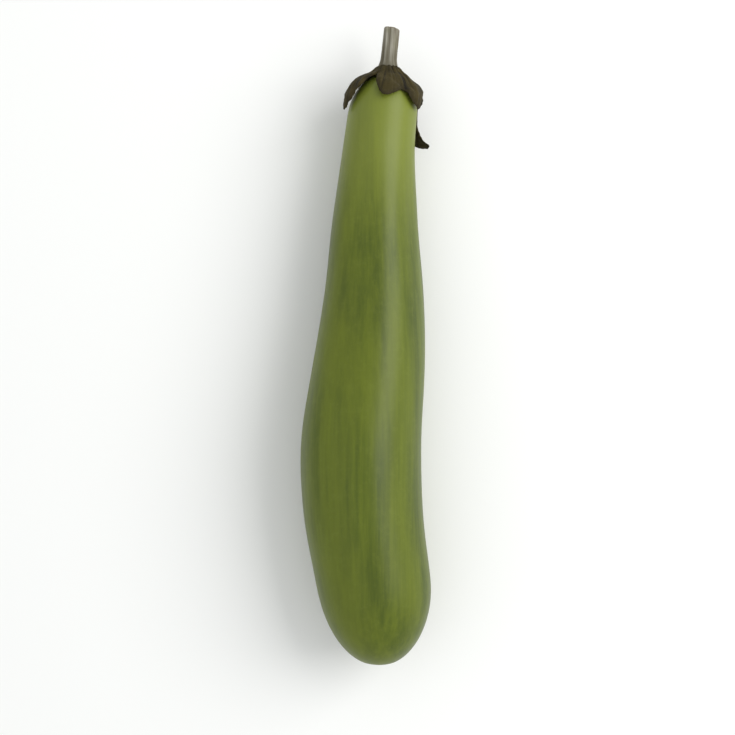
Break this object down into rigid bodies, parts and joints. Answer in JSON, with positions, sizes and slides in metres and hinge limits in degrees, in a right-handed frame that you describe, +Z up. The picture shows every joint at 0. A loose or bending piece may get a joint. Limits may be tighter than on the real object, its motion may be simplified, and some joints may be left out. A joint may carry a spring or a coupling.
{
  "type": "eggplant",
  "caption": "Long pale green eggplant as picked, gently bent, with a dried brown calyx and a cut woody stem, lying on its side.",
  "frame": {"origin": "under the middle of the bounding box, on the surface that the eggplant lies on", "axes": "+Y along the fruit from its blossom end to its stem, +Z up from the surface that it lies on, +X to the side"},
  "size_m": [0.0556, 0.2716, 0.0509],
  "materials": {
    "fruit_skin": "waxy, smooth, pale yellow-green",
    "dried_calyx": "dry, leathery, matte, dark brown",
    "woody_stem": "dry, ridged, matte, grey-brown"
  },
  "bodies": {
    "root": {"fruit": "fruit_skin", "calyx": "dried_calyx", "stem": "woody_stem"}
  },
  "joints": []
}
